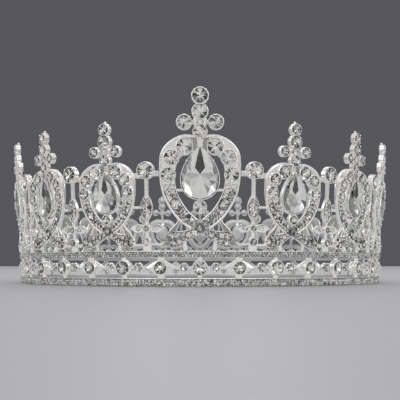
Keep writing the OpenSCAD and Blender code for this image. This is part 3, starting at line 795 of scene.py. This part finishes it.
def upright(u, width):
    """A bar of the openwork row from one rail to the other."""
    return bar(u, LOWER_RAIL_H - RAIL_BITE, u, RAIL_TOP - UPPER_RAIL_H + RAIL_BITE, width)


def lozenge():
    """A lozenge with hollow sides: half height falls as a power of a cosine."""
    return pointed(LOZENGE_L, 32, lambda t: LOZENGE_H / 2 * np.cos(pi / 2 * t) ** LOZENGE_POWER)


def row_ornament(is_round):
    """A round cup or a lozenge with its cup, on an upright."""
    if is_round:
        return merged([upright(0, 1.6), stone_cup(0, ROW_Z, ROW_ROUND_D)])
    return merged([upright(0, 2.6), ridged(lozenge(), 0, ROW_Z, LOZENGE_L, 0.95),
                   stone_cup(0, ROW_Z, ROW_LOZENGE_D)])


def row_link(s):
    """The bar between two ornaments, with a small petal setting off its middle to one side."""
    half = (WALL_R + ROW_Z * np.sin(LEAN)) * np.sin(radians(ROW_PITCH / 2)) - 0.7
    return merged([bar(-half, ROW_Z, half, ROW_Z, LINK_H)] + petal_setting(s * SMALL_U, ROW_Z, ROW_SMALL_D))


def placed(surface, angle, back=0.0):
    """A surface of a plate's plane stood on the wall at an angle."""
    return on_wall(surface[0], angle, back), surface[1], surface[2]


def band_silver(middle, count, first_is_round, arc):
    """Both rails and the openwork row, arc degrees to each side of a middle."""
    reach = arc - np.degrees(SEAM / 2 / WALL_R)
    parts = [arc_strip(middle - reach, middle + reach, rail_profile(*rail)) for rail in RAILS]
    for i in range(-count, count + 1):
        parts.append(placed(row_ornament((i % 2 == 0) == first_is_round), middle + i * ROW_PITCH))
    for i in range(-count - 1, count + 1):
        s = 1 if (i % 2 == 1) == first_is_round else -1
        parts.append(placed(row_link(s), middle + (i + 0.5) * ROW_PITCH))
    # An upright just inside each end
    for s in (1, -1):
        parts.append(placed(upright(-s * 0.75, 1.3), middle + s * arc))
    return merged(parts)


def band_pave(middle, arc):
    """Two staggered rows of stones round each rail."""
    surfaces = []
    for v0, v1 in RAILS:
        bed = v1 - v0 - 2 * RAIL_EDGE
        for row in range(2):
            v = v0 + RAIL_EDGE + bed * (0.26 + 0.48 * row)
            count = int(np.radians(2 * arc) * (WALL_R + v * np.sin(LEAN) + RAIL_T / 2) / RAIL_PITCH)
            angles = middle - arc + (np.arange(count) + 0.5 + 0.5 * row) * 2 * arc / (count + 0.5)
            spots = np.broadcast_to([0, v, 0.55 * bed], (count, 3))
            surfaces.append(set_chips(spots, angles, 0, RAIL_T / 2 - 0.1))
    return merged(surfaces)


# Materials
def feed(tree, node, sources):
    """Gives the named inputs of a node a plain value, or another node's output."""
    for label, source in sources.items():
        if isinstance(source, bpy.types.NodeSocket):
            tree.links.new(source, node.inputs[label])
        else:
            node.inputs[label].default_value = source


def add_node(tree, kind, sources=None, **settings):
    """The outputs of a new shader node with these settings and inputs."""
    node = tree.nodes.new("ShaderNode" + kind)
    for setting, value in settings.items():
        setattr(node, setting, value)
    feed(tree, node, sources or {})
    return node.outputs


def ranged(tree, source, ends, shape="LINEAR"):
    """One range of values mapped to another: ends of the first, then of the second."""
    labels = ("From Min", "From Max", "To Min", "To Max")
    inputs = {"Value": source, **dict(zip(labels, ends))}
    return add_node(tree, "MapRange", inputs, interpolation_type=shape)["Result"]


def blended(tree, factor, first, second):
    """A mix of two colours."""
    return add_node(tree, "Mix", {"Factor": factor, "A": first, "B": second}, data_type="RGBA")["Result"]


def new_material(name, inputs):
    """A material whose shader has these plain inputs, and its node tree and shader."""
    material = bpy.data.materials.new(name)
    material.use_nodes = True
    tree = material.node_tree
    shader = tree.nodes["Principled BSDF"]
    feed(tree, shader, inputs)
    return material, tree, shader


def plating_group():
    """Fine unevenness of plated castings: a mask for tone and roughness, and a height for bump."""
    tree = bpy.data.node_groups.new("plating_grain", "ShaderNodeTree")
    for label, value in (("Cloud Scale", 90.0), ("Grain Scale", 900.0)):
        socket = tree.interface.new_socket(label, in_out="INPUT", socket_type="NodeSocketFloat")
        socket.default_value = value
    for label in ("Mask", "Height"):
        tree.interface.new_socket(label, in_out="OUTPUT", socket_type="NodeSocketFloat")
    inside, out = tree.nodes.new("NodeGroupInput"), tree.nodes.new("NodeGroupOutput")
    place = add_node(tree, "TexCoord")["Object"]
    noises = []
    for label, detail in (("Cloud Scale", 3), ("Grain Scale", 2)):
        inputs = {"Vector": place, "Scale": inside.outputs[label], "Detail": detail}
        noises.append(add_node(tree, "TexNoise", inputs)["Fac"])
    cloud, grain = noises
    mask = add_node(tree, "Math", {0: grain, 1: 0.35, 2: cloud}, operation="MULTIPLY_ADD")[0]
    feed(tree, out, {"Mask": mask, "Height": grain})
    return tree


PLATING = plating_group()


def plated(name, dark, light, inputs, cloud=90.0):
    """A material whose colour lies between two tones by the plating's mask, and the mask and height."""
    material, tree, shader = new_material(name, inputs)
    grain = add_node(tree, "Group", {"Cloud Scale": cloud}, node_tree=PLATING)
    feed(tree, shader, {"Base Color": blended(tree, grain["Mask"], (*dark, 1), (*light, 1))})
    return material, tree, shader, grain


def silver(name, dark, light, rough_low, rough_high, bump, metal=1.0):
    """Plated metal, rougher where the mask is light. Below a metal of 1 it also scatters some light."""
    material, tree, shader, grain = plated(name, dark, light, {"Metallic": metal})
    relief = add_node(tree, "Bump", {"Strength": bump, "Distance": 0.0001, "Height": grain["Height"]})
    rough = ranged(tree, grain["Mask"], (0.3, 1.0, rough_low, rough_high))
    feed(tree, shader, {"Roughness": rough, "Normal": relief["Normal"]})
    return material


def crystal(name, dark, light, cloud):
    """Clear glass with the faintest uneven tint."""
    return plated(name, dark, light, {"Transmission Weight": 1.0, "Roughness": 0.0, "IOR": 1.56}, cloud)[0]


BRIGHT_SILVER = silver("bright_silver_plate", (0.8, 0.785, 0.765), (0.95, 0.94, 0.92), 0.12, 0.3, 0.15)
# Rougher satin finish for the inner side, its darker colour also painted shade on the side that faces in.
SATIN_AND_SHADE_SILVER = silver("satin_silver_back", (0.4, 0.397, 0.392), (0.56, 0.555, 0.55), 0.3, 0.45, 0.3)
# Painted shade: darker metal for the sunk beds between and under the stones.
SHADE_PAINTED_SILVER = silver("shadowed_recess", (0.3, 0.292, 0.282), (0.46, 0.45, 0.438), 0.35, 0.5, 0.3)
FOIL = silver("mirror_foil", (0.82, 0.81, 0.79), (0.97, 0.965, 0.95), 0.03, 0.08, 0.0)
# A pure mirror under the pears turns black where light is thrown back and forth, so theirs scatters
PEAR_FOIL = silver("pear_foil", (0.82, 0.81, 0.79), (0.97, 0.965, 0.95), 0.03, 0.08, 0.0, 0.7)
# Grey and dark foils are painted reflections: facets made grey or black in place of the dark surroundings
# they would reflect.
PAINTED_GREY_REFLECTION_FOIL = silver("painted_grey_reflection_foil", (0.3, 0.31, 0.32), (0.42, 0.43, 0.44), 0.03, 0.08, 0.0)
PAINTED_DARK_REFLECTION_FOIL = silver("painted_dark_reflection_foil", (0.045, 0.043, 0.04), (0.1, 0.097, 0.09), 0.03, 0.08, 0.0)
ROUND_CRYSTAL = crystal("clear_round_crystal", (0.95, 0.945, 0.93), (1, 0.995, 0.985), 200.0)
PEAR_CRYSTAL = crystal("clear_pear_crystal", (0.91, 0.92, 0.91), (1, 1, 0.99), 60.0)


def add_object(name, data):
    """A new object in the scene."""
    thing = bpy.data.objects.new(name, data)
    bpy.context.scene.collection.objects.link(thing)
    return thing


def make_piece(name, surface, materials, replaced=(), smooth=35):
    """Puts a surface into a mesh object that rides on the crown, shaded smooth below an edge angle."""
    points, faces, finish = surface
    mesh = bpy.data.meshes.new(name)
    rows = [row[:3] if row[3] < 0 else row for row in faces.tolist()]
    mesh.from_pydata(points.tolist(), [], rows)
    for material in materials:
        mesh.materials.append(material)
    mesh.polygons.foreach_set("material_index", finish.astype(np.int32))
    mesh.polygons.foreach_set("use_smooth", np.full(len(rows), bool(smooth)))
    if smooth:
        mesh.set_sharp_from_angle(angle=radians(smooth))
    piece = add_object(name, mesh)
    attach(piece, "root")
    if replaced:
        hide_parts(*replaced)
    return piece


def satin_and_shaded_back(surface):
    """Faces that look inwards, towards the wearer, get the satin finish: rougher, and darker in colour as
    painted shade on the inner side.
    """
    points, faces, finish = surface
    a, b, c = (points[faces[:, k]] for k in range(3))
    normal = np.cross(b - a, c - a)
    middle = (a + b + c) / 3
    lengths = np.linalg.norm(normal, axis=1) * np.linalg.norm(middle, axis=1)
    inward = (normal * middle * [1, 1, 0]).sum(1) < -0.35 * lengths
    return points, faces, np.where(inward, SATIN_AND_SHADE, finish)


SILVER = [BRIGHT_SILVER, SATIN_AND_SHADE_SILVER, SHADE_PAINTED_SILVER]
STONE = [ROUND_CRYSTAL, FOIL, PAINTED_GREY_REFLECTION_FOIL, PAINTED_DARK_REFLECTION_FOIL]
PEAR = [PEAR_CRYSTAL, PEAR_FOIL, PAINTED_GREY_REFLECTION_FOIL, PAINTED_DARK_REFLECTION_FOIL]
shapes = {id(c): (crest_silver(c), pear_stone(c), crest_pave(c)) for c in (FRONT, SIDE, BACK)}
for name, angle, c, posts in CRESTS:
    metal, pear, (bed_spots, bed_stones, hub_spots) = shapes[id(c)]
    back = set_back(c)
    silver_parts = [placed(metal, angle, back)] + [placed(post_silver(a, name), a) for a in posts]
    make_piece(f"crest_silver_{name}", satin_and_shaded_back(merged(silver_parts)), SILVER,
               [f"crest_{name}"])
    make_piece(f"pear_cut_{name}", placed(pear, angle, back), PEAR, [f"pear_{name}"], 0)
    chips = [set_chips(bed_spots, angle, back), set_chips(hub_spots, angle, back, HUB_N)]
    chips += [placed(stone, angle, back) for stone in bed_stones]
    chips += [set_chips(post_pave(a), a) for a in posts]
    for a in posts:
        p = post_sizes(a)
        rows = ((p["base_v"], POST_BASE_D), (p["leaf_v"], p["leaf_w"] - 1))
        chips += [placed(round_stone(0, v, d), a) for v, d in rows]
    make_piece(f"crest_pave_{name}", merged(chips), STONE, (), 0)

BANDS = (("front", 0, FRONT_COUNT, True, SEAM_ANGLE), ("back", 180, BACK_COUNT, False, 180 - SEAM_ANGLE))
for name, middle, count, is_round, arc in BANDS:
    metal = satin_and_shaded_back(band_silver(middle, count, is_round, arc))
    make_piece(f"{name}_band_silver", metal, SILVER, [f"{name}_band"])
    make_piece(f"{name}_band_pave", band_pave(middle, arc), STONE, (), 0)


def field(name, rows):
    """All the stones of one field, each (offset, height, diameter, angle, set back)."""
    stones = [placed(round_stone(u, v, d), a, b) for u, v, d, a, b in rows]
    make_piece(f"{name}_cut", merged(stones), STONE, [name], 0)


def crest_field(name, chosen, rows_of):
    """One field of stones that sit on the chosen crests, at the rows of each."""
    places = [crest[1:3] for crest in CRESTS if chosen(crest[2])]
    field(name, [(*row, angle, set_back(c)) for angle, c in places for row in rows_of(c)])


crest_field("spire_stones_front", lambda c: c is not BACK, spire_rows)
crest_field("spire_stones_back", lambda c: c is BACK, spire_rows)
crest_field("loop_stones", lambda c: c is not BACK, lambda c: [low_row(c)] + loop_rows(c))
post_rows = [(post_sizes(a), a) for crest in CRESTS for a in crest[3]]
field("post_stones", [(0, p["top"], p["d"], a, 0) for p, a in post_rows])


def row_angles(want_round):
    """Where the openwork row has round cups or lozenges: they take turns, a round one at the front."""
    front, back = range(-FRONT_COUNT, FRONT_COUNT + 1), range(-BACK_COUNT, BACK_COUNT + 1)
    return ([i * ROW_PITCH for i in front if (i % 2 == 0) == want_round]
            + [180 + i * ROW_PITCH for i in back if (i % 2 == 1) == want_round])


field("band_round_stones", [(0, ROW_Z, ROW_ROUND_D, a, 0) for a in row_angles(True)])
field("band_lozenge_stones", [(0, ROW_Z, ROW_LOZENGE_D, a, 0) for a in row_angles(False)])
links = [((i + 0.5) * ROW_PITCH, 1 if i % 2 else -1) for i in range(-FRONT_COUNT - 1, FRONT_COUNT + 1)]
links += [(180 + (i + 0.5) * ROW_PITCH, -1 if i % 2 else 1) for i in range(-BACK_COUNT - 1, BACK_COUNT + 1)]
field("band_small_stones", [(s * SMALL_U, ROW_Z, ROW_SMALL_D, a, 0) for a, s in links])

# Floor, light and camera
FLOOR_GREY, BACKDROP_GREY = (0.44, 0.44, 0.46, 1), (0.096, 0.094, 0.106, 1)
floor_mesh = bpy.data.meshes.new("floor")
floor_mesh.from_pydata([(-6, -6, 0), (6, -6, 0), (6, 6, 0), (-6, 6, 0)], [], [(0, 1, 2, 3)])
floor = add_object("floor", floor_mesh)
floor_mesh.materials.append(new_material("pale_floor", {"Base Color": FLOOR_GREY, "Roughness": 0.5})[0])

PANELS, GAP_LIGHT, TENT_LIGHT = 8.0, 0.27, 0.72
world = bpy.data.worlds.new("studio")
bpy.context.scene.world = world
world.use_nodes = True
sky = world.node_tree

# Light tent: white panels all round with dimmer gaps between them. The camera sees a plain grey instead
direction = add_node(sky, "SeparateXYZ", {0: add_node(sky, "TexCoord")["Generated"]})
turn = add_node(sky, "Math", {0: direction["X"], 1: direction["Y"]}, operation="ARCTAN2")[0]
turns = add_node(sky, "Math", {0: turn, 1: PANELS}, operation="MULTIPLY")[0]
panel = add_node(sky, "Math", {0: turns}, operation="COSINE")[0]
dome = ranged(sky, direction["Z"], (0.1, 0.4, -0.3, 1.5), "SMOOTHSTEP")
mixed = add_node(sky, "Math", {0: dome, 1: panel}, operation="ADD")[0]
tent = ranged(sky, mixed, (-0.2, 0.15, GAP_LIGHT, TENT_LIGHT), "SMOOTHSTEP")
seen = add_node(sky, "LightPath")["Is Camera Ray"]
feed(sky, sky.nodes["Background"], {"Color": blended(sky, seen, tent, BACKDROP_GREY)})


def softbox(name, place, aim, size, power):
    """A rectangular light that the camera doesn't see."""
    light = bpy.data.lights.new(name, "AREA")
    light.shape = "RECTANGLE"
    light.size, light.size_y = size
    light.energy = power
    lamp = add_object(name, light)
    lamp.location = place
    lamp.rotation_euler = (Vector(aim) - Vector(place)).to_track_quat("-Z", "Y").to_euler()
    lamp.visible_camera = False


AIM = (0, 0, 0.03)
softbox("top_box", (0, -0.05, 0.9), AIM, (0.45, 0.45), 0.7)
# Degrees round from the camera's side, power
SIDE_BOXES = ((-32, 0.8), (32, 0.8), (-100, 0.55), (100, 0.55), (180, 0.55))
for number, (turn_by, power) in enumerate(SIDE_BOXES):
    side = radians(turn_by)
    softbox(f"side_box_{number}", (0.95 * np.sin(side), -0.95 * np.cos(side), 0.5), AIM, (0.35, 0.5), power)

# Reflector card round the crown's foot: it brightens the faces that lean over the floor
softbox("floor_card", (0, 0, 0.001), (0, 0, 1), (2.2, 2.2), 4)

# Camera: straight on, just above the floor, turned up RISE degrees, at the photo's distance and lens
LENS, PLACE, RISE = 64.8, (0, -0.3135, 0.007), 5.2
camera_data = bpy.data.cameras.new("camera")
camera_data.lens = LENS
camera_data.sensor_width = 36
camera = add_object("camera", camera_data)
camera.location = PLACE
camera.rotation_euler = (radians(90 + RISE), 0, 0)
camera_data.clip_start = 0.005
bpy.context.scene.camera = camera
bpy.context.scene.view_settings.view_transform = "Standard"
